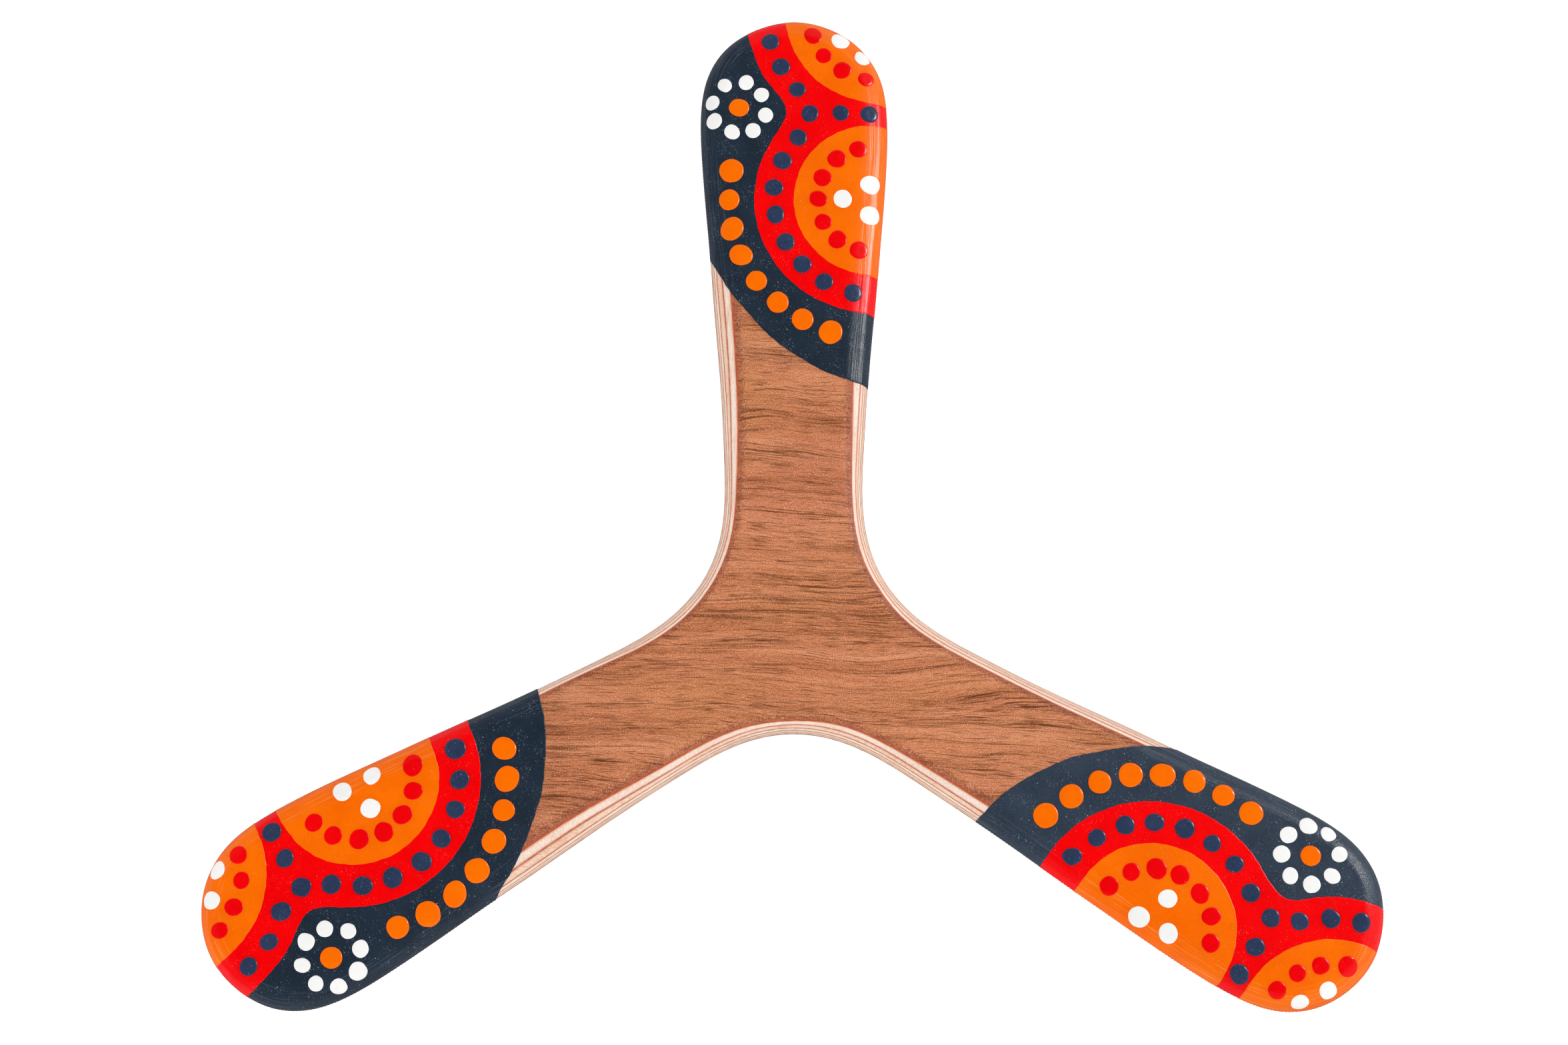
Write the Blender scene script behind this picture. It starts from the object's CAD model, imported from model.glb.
"""Three-bladed plywood boomerang: the looks.

The thirteen wood layers are the CAD nodes and get procedural wood and glue
finishes. The brushed coats and the thick paint dots stand in for the plain
CAD coats: closed meshes laid over the sanded edge of the blank.
"""
import math

import bpy
import numpy as np
from mathutils import Matrix, Vector
from mathutils.geometry import delaunay_2d_cdt
from mathutils.kdtree import KDTree


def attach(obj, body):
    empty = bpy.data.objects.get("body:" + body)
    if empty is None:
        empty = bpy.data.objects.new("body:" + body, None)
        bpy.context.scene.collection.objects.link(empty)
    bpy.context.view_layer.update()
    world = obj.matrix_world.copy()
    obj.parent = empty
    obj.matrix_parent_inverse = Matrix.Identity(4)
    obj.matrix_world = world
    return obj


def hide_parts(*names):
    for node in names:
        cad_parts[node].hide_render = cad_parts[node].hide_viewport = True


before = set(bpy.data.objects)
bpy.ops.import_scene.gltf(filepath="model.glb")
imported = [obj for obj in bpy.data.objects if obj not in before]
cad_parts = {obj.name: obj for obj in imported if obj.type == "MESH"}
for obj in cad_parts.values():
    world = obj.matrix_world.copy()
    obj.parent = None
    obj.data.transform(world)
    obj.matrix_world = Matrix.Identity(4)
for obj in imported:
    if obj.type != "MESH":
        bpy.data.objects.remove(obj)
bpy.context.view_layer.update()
MM = 0.001

# --------------------------------------------------------------- the blank
# Same driving numbers as the CAD model, in millimetres.
VENEER_T, PLY_T, GLUE_T, N_PLIES = 0.55, 0.62, 0.10, 5
TOP = 2 * VENEER_T + N_PLIES * PLY_T + (N_PLIES + 1) * GLUE_T
BLADE_ANGLES = (90.0, 210.0, 330.0)
OUTLINE = [
    (22.2, 12.8), (18.65, 21.5), (17.2, 31), (17.25, 40.5), (17.8, 49.9),
    (18.45, 59.4), (19.2, 69), (20.1, 78.5), (20.99, 87.91), (21.8, 97.52),
    (22.65, 107.02), (23.4, 116.41), (23.9, 126.1), (23.8, 135.58), (22.01, 144.73),
    (17.16, 152.46), (9.22, 157.82), (0.1, 159.7), (-9.12, 157.72), (-17.06, 152.56),
    (-21.91, 144.73), (-23.6, 135.58), (-23.55, 126.11), (-22.9, 116.42),
    (-22.1, 107.02), (-21.25, 97.52), (-20.54, 87.91), (-19.75, 78.5), (-18.9, 69),
    (-18.15, 59.4), (-17.6, 49.9), (-17.25, 40.5), (-17.25, 31), (-18.65, 21.5),
]
STATION = [0.0, 12.0, 24.0, 36.0, 48.0, 60.0, 80.0, 100.0, 120.0, 140.0, 162.0]
EDGE_0 = {
    (0, "R"): [2.90, 2.90, 2.82, 3.25, 3.85, 4.40, 4.90, 5.00, 4.60, 3.90, 3.40],
    (0, "L"): [2.90, 2.92, 3.05, 3.75, 4.05, 4.40, 4.50, 4.00, 3.40, 3.20, 3.40],
    (1, "R"): [2.90, 2.94, 2.72, 2.20, 2.25, 2.60, 3.00, 3.20, 3.20, 3.20, 3.20],
    (1, "L"): [2.80, 3.15, 3.55, 3.90, 4.75, 5.60, 5.60, 4.40, 3.60, 3.20, 3.20],
    (2, "R"): [2.80, 3.45, 3.60, 4.05, 4.40, 4.60, 4.40, 4.00, 3.60, 3.30, 3.30],
    (2, "L"): [2.90, 3.15, 3.08, 3.00, 3.00, 3.05, 3.00, 2.90, 2.90, 3.10, 3.30],
}
EDGE_1 = {
    (0, "R"): [1.93, 1.88, 1.78, 1.90, 1.90, 2.10, 2.30, 2.35, 2.20, 2.00, 1.90],
    (0, "L"): [1.95, 1.85, 1.76, 1.98, 2.25, 2.55, 2.55, 2.25, 2.05, 1.95, 1.90],
    (1, "R"): [1.95, 2.10, 1.85, 1.45, 1.45, 1.60, 1.80, 1.90, 1.90, 1.90, 1.90],
    (1, "L"): [1.93, 1.98, 2.00, 2.05, 2.65, 3.20, 3.10, 2.45, 2.05, 1.90, 1.90],
    (2, "R"): [1.93, 2.12, 2.16, 2.18, 2.40, 2.50, 2.40, 2.20, 2.00, 1.90, 1.90],
    (2, "L"): [1.93, 2.25, 2.16, 2.04, 2.08, 2.12, 2.00, 1.90, 1.90, 1.90, 1.90],
}
EDGE_3, EDGE_4, EDGE_5 = 0.72, 0.34, 0.11

glue_z = []
_z = VENEER_T
for _k in range(N_PLIES):
    glue_z.append(_z + GLUE_T / 2)
    _z += GLUE_T + PLY_T
glue_z.append(_z + GLUE_T / 2)          # from the lowest film to the highest
G5, G4, G3, G2, G1, G0 = glue_z

# ---------------------------------------------------------- paint layout
# The pattern is plain geometry, the same on every blade: two round patches, a
# band of constant width round them, and dots of one size per colour at equal
# steps along circles parallel to the patches.
PATCH = (20.0, 110.0)     # centre of the patch at the flank, across and along
PATCH_R = 20.0
CAP = (22.0, 160.0)       # centre of the patch at the tip
CAP_R = 24.0
BAND_W = 10.0             # width of the band round both patches


def arc(centre, radius, degrees):
    """Points of a circle at the given angles, as (across, along)."""
    return [(centre[0] + radius * math.cos(math.radians(a)),
             centre[1] + radius * math.sin(math.radians(a))) for a in degrees]


WOOD_LINE = [[(-30.0, 108.0), (-21.5, 95.5), (-16.8, 87.0), (-11.5, 80.0), (-5.5, 73.5),
              (2.0, 68.0), (9.5, 64.0), (18.0, 61.5), (30.3, 58.5)]] * 3
RED_LINE = [arc(CAP, CAP_R + BAND_W, (170, 185, 200, 214)) + [(-2.0, 134.5)]
            + arc(PATCH, PATCH_R + BAND_W, (148, 164, 180, 196, 212, 228, 244, 258, 270))
            + [(30.3, 80.0)]] * 3
BIG_ORANGE_LINE = [[(32.0, 130.0)] + arc(PATCH, PATCH_R, (90, 112, 135, 158, 180, 202, 225, 248, 270))
                   + [(32.0, 90.0)]] * 3
TIP_ORANGE_LINE = [arc(CAP, CAP_R, (165, 180, 195, 210, 225, 240, 255, 270)) + [(30.3, 137.4)]] * 3

# Rows of dots. A row is (guide curve, count, first radius, last radius):
# the dots sit at equal steps along the guide curve.
FLOWER = [(-14.0, 134.5, 7.0, 7.0, 0.0)] * 3      # a round ring: centre, radii, turn
PETALS = 8
PETAL_R = 2.0
FLOWER_CENTRE_R = 2.5
ORANGE_ROW = [(arc(PATCH, PATCH_R + BAND_W + 6.5, (168, 185, 202, 219, 236, 253)), 8, 2.9, 2.9)] * 3
NAVY_ROW = [(arc(CAP, CAP_R + 5.0, (195, 210, 224)) + [(4.2, 133.6)]
             + arc(PATCH, PATCH_R + 5.0, (140, 160, 180, 200, 220, 240, 258)), 12, 2.3, 2.3)] * 3
NAVY_BRANCH = [([(12.0, 133.2), (19.2, 133.0)], 2, 2.3, 2.3)] * 3
RED_ROW = [(arc(PATCH, PATCH_R - 6.0, (105, 130, 155, 180, 205, 230, 255)), 7, 2.3, 2.3)] * 3
WHITE_TRIO = [[(x, y, 2.4) for x, y in arc((17.0, 110.0), 4.6, (60, 180, 300))]] * 3
TIP_RED_ROW = [(arc(CAP, CAP_R - 6.0, (198, 218, 238, 258)), 4, 2.2, 2.2)] * 3
TIP_WHITE_ROW = [(arc(CAP, CAP_R - 12.0, (215, 250)), 2, 2.2, 2.2)] * 3

# ------------------------------------------------------- curves in the plane


def spin(p, blade):
    """Blade-local (across, along) points to the row frame."""
    p = np.asarray(p, float)
    a = math.radians(BLADE_ANGLES[blade])
    ac, al = p[..., 0], p[..., 1]
    return np.stack([al * math.cos(a) + ac * math.sin(a),
                     al * math.sin(a) - ac * math.cos(a)], -1)


def unspin(q, blade):
    q = np.asarray(q, float)
    a = math.radians(BLADE_ANGLES[blade])
    x, y = q[..., 0], q[..., 1]
    return np.stack([x * math.sin(a) - y * math.cos(a),
                     x * math.cos(a) + y * math.sin(a)], -1)


def smooth(xs, ys, x):
    """Catmull-Rom lookup in a table, for an array of x."""
    xs, ys, x = np.asarray(xs, float), np.asarray(ys, float), np.asarray(x, float)
    m = np.zeros(len(xs))
    m[1:-1] = (ys[2:] - ys[:-2]) / (xs[2:] - xs[:-2])
    i = np.clip(np.searchsorted(xs, x, side="right") - 1, 0, len(xs) - 2)
    h = xs[i + 1] - xs[i]
    t = np.clip((x - xs[i]) / h, 0, 1)
    return ((2 * t ** 3 - 3 * t ** 2 + 1) * ys[i] + (t ** 3 - 2 * t ** 2 + t) * h * m[i]
            + (-2 * t ** 3 + 3 * t ** 2) * ys[i + 1] + (t ** 3 - t ** 2) * h * m[i + 1])


def cubic(points, closed, per_segment=40):
    """Cubic spline through points, chord-length parameters, densely sampled."""
    p = np.asarray(points, float)
    if closed:
        p = np.vstack([p, p[:1]])
    n = len(p)
    h = np.linalg.norm(np.diff(p, axis=0), axis=1)
    a = np.zeros((n, n))
    r = np.zeros((n, p.shape[1]))
    for i in range(1, n - 1):
        a[i, i - 1], a[i, i], a[i, i + 1] = h[i - 1], 2 * (h[i - 1] + h[i]), h[i]
        r[i] = 6 * ((p[i + 1] - p[i]) / h[i] - (p[i] - p[i - 1]) / h[i - 1])
    if closed:
        a[0, 0], a[0, -1] = 1, -1
        a[-1, 0], a[-1, 1] = 2 * h[0], h[0]
        a[-1, -2], a[-1, -1] = h[-1], 2 * h[-1]
        r[-1] = 6 * ((p[1] - p[0]) / h[0] - (p[-1] - p[-2]) / h[-1])
    else:
        a[0, 0] = a[-1, -1] = 1
    m = np.linalg.solve(a, r)
    out = []
    for i in range(n - 1):
        t = (np.arange(per_segment) / per_segment)[:, None] * h[i]
        b0, b1 = h[i] - t, t
        out.append(m[i] * b0 ** 3 / (6 * h[i]) + m[i + 1] * b1 ** 3 / (6 * h[i])
                   + (p[i] / h[i] - m[i] * h[i] / 6) * b0 + (p[i + 1] / h[i] - m[i + 1] * h[i] / 6) * b1)
    if not closed:
        out.append(p[-1:])
    return np.vstack(out)


def by_length(p, step=None, count=None, closed=False):
    """Resamples a polyline at equal steps of its length."""
    if closed:
        p = np.vstack([p, p[:1]])
    run = np.concatenate([[0], np.cumsum(np.linalg.norm(np.diff(p, axis=0), axis=1))])
    if count is None:
        count = max(int(round(run[-1] / step)), 2) + (0 if closed else 1)
    want = np.arange(count) * run[-1] / (count if closed else count - 1)
    return np.stack([np.interp(want, run, p[:, k]) for k in range(p.shape[1])], 1), run[-1]


# ------------------------------------------------- edge stations of the blank
N_ST = 2400
outline = np.vstack([spin(OUTLINE, b) for b in range(3)])
dense = cubic(outline, True, 60)
ST, PERIMETER = by_length(dense, count=N_ST, closed=True)
THIRD = PERIMETER / 3
STEP = PERIMETER / N_ST
_t = np.roll(ST, -1, 0) - np.roll(ST, 1, 0)
ST_T = _t / np.linalg.norm(_t, axis=1)[:, None]
ST_N = np.stack([-ST_T[:, 1], ST_T[:, 0]], 1)        # inward


def edge_tables():
    e0, e1 = np.zeros(N_ST), np.zeros(N_ST)
    s = np.arange(N_ST) * STEP
    blade = np.minimum((s // THIRD).astype(int), 2)
    d = s - blade * THIRD
    right = d <= THIRD / 2
    dist = np.where(right, d, THIRD - d) * 162.0 / (THIRD / 2)
    for b in range(3):
        for side in "RL":
            pick = (blade == b) & (right if side == "R" else ~right)
            e0[pick] = smooth(STATION, EDGE_0[(b, side)], dist[pick])
            e1[pick] = smooth(STATION, EDGE_1[(b, side)], dist[pick])
    return e0, e1


E0, E1 = edge_tables()
REF = 11.0        # inset past which every edge is flat, mm
N_T = 160         # samples of each edge profile, bottom to REF


def profiles():
    """Inset, height and their slopes along each station's edge profile, at
    equal steps of its own length, and that length."""
    e2 = 1.0 + 0.12 * E1
    run = 1.0 + 1.2 * (E0 - E1)
    rise = TOP - G0
    one = np.ones(N_ST)
    nodes = [(0.0 * one, 0.10 * one), (0.25 * one, 0.0 * one), (G5 * one, EDGE_5 * one),
             (G4 * one, EDGE_4 * one), (G3 * one, EDGE_3 * one), (G2 * one, e2), (G1 * one, E1), (G0 * one, E0)]
    for q in (0.22, 0.46, 0.72, 1.0):
        nodes.append(((G0 + rise * (1 - (1 - q) ** 2)) * one, E0 + run * q))
    h = np.stack([n[0] for n in nodes], 1)
    i = np.stack([n[1] for n in nodes], 1)
    # cubic through the nodes, parameters from the mean chord
    chord = np.hypot(np.diff(h, axis=1), np.diff(i, axis=1)).mean(0)
    x = np.concatenate([[0], np.cumsum(chord)])
    n = len(x)
    a = np.zeros((n, n))
    a[0, 0] = a[-1, -1] = 1
    hh = np.diff(x)
    rh, ri = np.zeros((n, N_ST)), np.zeros((n, N_ST))
    for k in range(1, n - 1):
        a[k, k - 1], a[k, k], a[k, k + 1] = hh[k - 1], 2 * (hh[k - 1] + hh[k]), hh[k]
        rh[k] = 6 * ((h[:, k + 1] - h[:, k]) / hh[k] - (h[:, k] - h[:, k - 1]) / hh[k - 1])
        ri[k] = 6 * ((i[:, k + 1] - i[:, k]) / hh[k] - (i[:, k] - i[:, k - 1]) / hh[k - 1])
    mh, mi = np.linalg.solve(a, rh), np.linalg.solve(a, ri)
    fine_h, fine_i = [], []
    for k in range(n - 1):
        t = (np.arange(16) / 16)[:, None] * hh[k]
        b0, b1 = hh[k] - t, t
        for m, v, out in ((mh, h, fine_h), (mi, i, fine_i)):
            out.append(m[k] * b0 ** 3 / (6 * hh[k]) + m[k + 1] * b1 ** 3 / (6 * hh[k])
                       + (v[:, k] / hh[k] - m[k] * hh[k] / 6) * b0 + (v[:, k + 1] / hh[k] - m[k + 1] * hh[k] / 6) * b1)
    fine_h = np.vstack(fine_h + [h[:, -1][None], TOP * one[None]])
    fine_i = np.vstack(fine_i + [i[:, -1][None], REF * one[None]])
    fine_h = np.clip(fine_h, 0, TOP)
    run_l = np.vstack([0 * one[None], np.cumsum(np.hypot(np.diff(fine_h, axis=0), np.diff(fine_i, axis=0)), 0)])
    total = run_l[-1]
    H, I = np.zeros((N_ST, N_T + 1)), np.zeros((N_ST, N_T + 1))
    for s in range(N_ST):
        want = np.arange(N_T + 1) / N_T * total[s]
        H[s] = np.interp(want, run_l[:, s], fine_h[:, s])
        I[s] = np.interp(want, run_l[:, s], fine_i[:, s])
    return H, I, total


PH, PI, LEN = profiles()
_dh = np.gradient(PH, axis=1)
_di = np.gradient(PI, axis=1)
_k = 3                                   # light smoothing of the slopes
for _ in range(2):
    _dh[:, 1:-1] = (_dh[:, :-2] + _dh[:, 1:-1] + _dh[:, 2:]) / 3
    _di[:, 1:-1] = (_di[:, :-2] + _di[:, 1:-1] + _di[:, 2:]) / 3
_l = np.hypot(_dh, _di)
NOUT, NUP = _dh / _l, _di / _l           # outward and upward share of the normal
LOW = REF - LEN                          # unrolled inset of the bottom edge


def nearest(q):
    """Fractional station and signed unrolled inset of points in the plane."""
    q = np.asarray(q, float).reshape(-1, 2)
    k = np.zeros(len(q), int)
    coarse = ST[::8]
    for a in range(0, len(q), 4000):
        c = q[a:a + 4000]
        d = ((c[:, None, :] - coarse[None]) ** 2).sum(2)
        k0 = d.argmin(1) * 8
        best = np.full(len(c), 1e18)
        for o in range(-9, 10):
            kk = (k0 + o) % N_ST
            dd = ((c - ST[kk]) ** 2).sum(1)
            hit = dd < best
            best[hit] = dd[hit]
            k[a:a + 4000][hit] = kk[hit]
    # slide along the tangent to the foot of the normal
    s = k.astype(float)
    for _ in range(4):
        p, n = station(s)
        t = np.stack([n[:, 1], -n[:, 0]], 1)
        s = s + np.clip(((q - p) * t).sum(1) / STEP, -1, 1) * 0.8
    p, n = station(s)
    return s % N_ST, ((q - p) * n).sum(1)


def station(s):
    s = np.asarray(s, float) % N_ST
    a = np.floor(s).astype(int) % N_ST
    b = (a + 1) % N_ST
    f = (s - np.floor(s))[:, None]
    n = ST_N[a] * (1 - f) + ST_N[b] * f
    return ST[a] * (1 - f) + ST[b] * f, n / np.linalg.norm(n, axis=1)[:, None]


def table(tab, s, t):
    """Bilinear lookup of a (station, profile) table."""
    s = np.asarray(s, float) % N_ST
    a = np.floor(s).astype(int) % N_ST
    b = (a + 1) % N_ST
    f = s - np.floor(s)
    u = np.clip(t, 0, 1) * N_T
    i = np.clip(np.floor(u).astype(int), 0, N_T - 1)
    g = u - i
    return ((tab[a, i] * (1 - g) + tab[a, i + 1] * g) * (1 - f)
            + (tab[b, i] * (1 - g) + tab[b, i + 1] * g) * f)


def low_at(s):
    s = np.asarray(s, float) % N_ST
    a = np.floor(s).astype(int) % N_ST
    f = s - np.floor(s)
    return LOW[a] * (1 - f) + LOW[(a + 1) % N_ST] * f


def lift(q):
    """Unrolled points to the wood surface: point, unit normal, station, inset.
    The unrolled plane is the plan of the board with its edge laid flat."""
    q = np.asarray(q, float).reshape(-1, 2)
    s, d = nearest(q)
    p, n = station(s)
    low = low_at(s)
    t = (d - low) / (REF - low)
    inset = table(PI, s, t)
    z = table(PH, s, t)
    out, up = table(NOUT, s, t), table(NUP, s, t)
    flat = d >= REF
    pos = np.empty((len(q), 3))
    pos[:, :2] = p + n * inset[:, None]
    pos[:, 2] = z
    pos[flat, :2] = q[flat]
    pos[flat, 2] = TOP
    nor = np.zeros((len(q), 3))
    nor[:, :2] = -n * out[:, None]
    nor[:, 2] = up
    nor[flat] = (0, 0, 1)
    nor /= np.linalg.norm(nor, axis=1)[:, None]
    return pos, nor, s, d


def unroll(q):
    """Plan points inside the outline to the unrolled plane."""
    q = np.asarray(q, float).reshape(-1, 2)
    s, inset = nearest(q)
    p, n = station(s)
    low = low_at(s)
    out = q.copy()
    tt = np.linspace(0, 1, N_T + 1)
    for j in np.nonzero(inset < REF)[0]:
        a = int(s[j]) % N_ST
        row_i = PI[a]
        k0 = int(np.argmin(row_i[:40]))
        t = np.interp(inset[j], row_i[k0:], tt[k0:])
        d = low[j] + t * (REF - low[j])
        out[j] = p[j] + n[j] * d
    return out


# ------------------------------------------------------------- paint borders
def wobble(n_points, length, rng, size, waves):
    """Smooth hand wobble along a curve of that length."""
    x = np.linspace(0, length, n_points)
    y = np.zeros(n_points)
    for w in waves:
        y += np.sin(2 * math.pi * x / (w * rng.uniform(0.85, 1.15)) + rng.uniform(0, 6.28)) * rng.uniform(0.5, 1.0)
    return size * y / len(waves)


def border(points, blade, rng, step=0.34, size=0.16):
    """A paint border as a polyline in the unrolled plane. It runs over the
    edge down to the underside at each end that reaches the outline."""
    p = spin(cubic(points, False, 60), blade)
    p, length = by_length(p, step=step)
    t = np.gradient(p, axis=0)
    t /= np.linalg.norm(t, axis=1)[:, None]
    nrm = np.stack([-t[:, 1], t[:, 0]], 1)
    p = p + nrm * wobble(len(p), length, rng, size, (2.7, 4.9, 9.0, 17.0))[:, None]
    s, d = nearest(p)
    inside = np.nonzero(d > 0.22)[0]
    first, last = inside[0], inside[-1]
    u = unroll(p[first:last + 1])

    def tail(end, before):
        """From the last point on the face, down over the edge."""
        direction = end - before
        direction = direction / np.linalg.norm(direction)
        out, q = [], end.copy()
        for k in range(60):
            ss, dd = nearest(q[None])
            _, n = station(ss)
            down = -n[0]
            f = min(1.0, k / 6.0)
            v = direction * (1 - 0.55 * f) + down * 0.55 * f
            v = v / np.linalg.norm(v)
            q = q + v * step
            ss, dd = nearest(q[None])
            low = low_at(ss)[0]
            if dd[0] <= low + 0.05:
                p0, n0 = station(ss)
                out.append(p0[0] + n0[0] * (low - 0.6))
                return np.array(out)
            out.append(q.copy())
        return np.array(out)

    parts = []
    if first > 0:
        parts.append(tail(u[0], u[3])[::-1])
    parts.append(u)
    if last < len(p) - 1:
        parts.append(tail(u[-1], u[-4]))
    return np.vstack(parts)


def seg_dist(q, line):
    """Distance of points to a polyline."""
    tree = KDTree(len(line))
    for i, p in enumerate(line.tolist()):
        tree.insert((p[0], p[1], 0.0), i)
    tree.balance()
    find = tree.find
    k = np.array([find((x, y, 0.0))[1] for x, y in q.tolist()], int)
    best = np.full(len(q), 1e9)
    for o in (-1, 0):
        i = np.clip(k + o, 0, len(line) - 2)
        a, ab = line[i], line[i + 1] - line[i]
        f = np.clip(((q - a) * ab).sum(1) / (ab ** 2).sum(1), 0, 1)
        best = np.minimum(best, np.linalg.norm(q - a - f[:, None] * ab, axis=1))
    return best


def inside_polygon(q, poly):
    x, y = q[:, 0], q[:, 1]
    hit = np.zeros(len(q), bool)
    x0, y0 = poly[:, 0], poly[:, 1]
    x1, y1 = np.roll(x0, -1), np.roll(y0, -1)
    for a, b, c, d in zip(x0, y0, x1, y1):
        if b == d:
            continue
        cond = ((b > y) != (d > y)) & (x < (c - a) * (y - b) / (d - b) + a)
        hit ^= cond
    return hit


# ---------------------------------------------------------------- mesh tools
def new_object(name, verts, faces, material, smooth_on=True):
    """verts in millimetres."""
    me = bpy.data.meshes.new(name)
    me.from_pydata((np.asarray(verts) * MM).tolist(), [], [tuple(int(i) for i in f) for f in faces])
    me.update()
    if smooth_on:
        me.polygons.foreach_set("use_smooth", [True] * len(me.polygons))
    o = bpy.data.objects.new(name, me)
    bpy.context.scene.collection.objects.link(o)
    me.materials.append(material)
    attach(o, "root")
    return o


def vector_attribute(o, name, data):
    a = o.data.attributes.new(name, "FLOAT_VECTOR", "POINT")
    a.data.foreach_set("vector", np.asarray(data, np.float32).ravel())


# value noise on a lattice, seeded, for shape work
def lattice_noise(x, y, seed):
    rng = np.random.default_rng(seed)
    n = 256
    g = rng.uniform(-1, 1, (n, n))
    xi, yi = np.floor(x).astype(int), np.floor(y).astype(int)
    fx, fy = x - xi, y - yi
    fx, fy = fx * fx * (3 - 2 * fx), fy * fy * (3 - 2 * fy)
    a, b = g[xi % n, yi % n], g[(xi + 1) % n, yi % n]
    c, d = g[xi % n, (yi + 1) % n], g[(xi + 1) % n, (yi + 1) % n]
    return (a * (1 - fx) + b * fx) * (1 - fy) + (c * (1 - fx) + d * fx) * fy


def coat_relief(s, d, z):
    """What shows through the coat on the sanded edge: the glue lines as fine
    ridges and the sanded fibre as streaks along the edge, in mm."""
    run = s * STEP
    on_edge = 1 / (1 + np.exp((d - 5.6) / 0.6))
    r = np.zeros(len(s))
    for k, g in enumerate(glue_z):
        g = g + 0.05 * lattice_noise(run / 9.0, run * 0 + 7 * k, 40 + k)
        r += (0.030 if k > 2 else 0.012) * np.exp(-((z - g) / 0.06) ** 2)
    r += 0.024 * lattice_noise(run / 15.0, d / 0.50 + 0.5 * lattice_noise(run / 17.0, d * 0, 3), 11)
    r += 0.016 * lattice_noise(run / 34.0, d / 0.95, 12)
    r *= on_edge
    r += 0.008 * lattice_noise(run / 3.1 + 50, d / 3.1, 13) * (1 - on_edge)
    return r


# --------------------------------------------------------------- the coats
DARK_T, RED_T, ORANGE_T = 0.13, 0.19, 0.25
ROUND_W = 0.28
UNDER = 0.40                 # how far a lower coat runs on under an upper one


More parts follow.
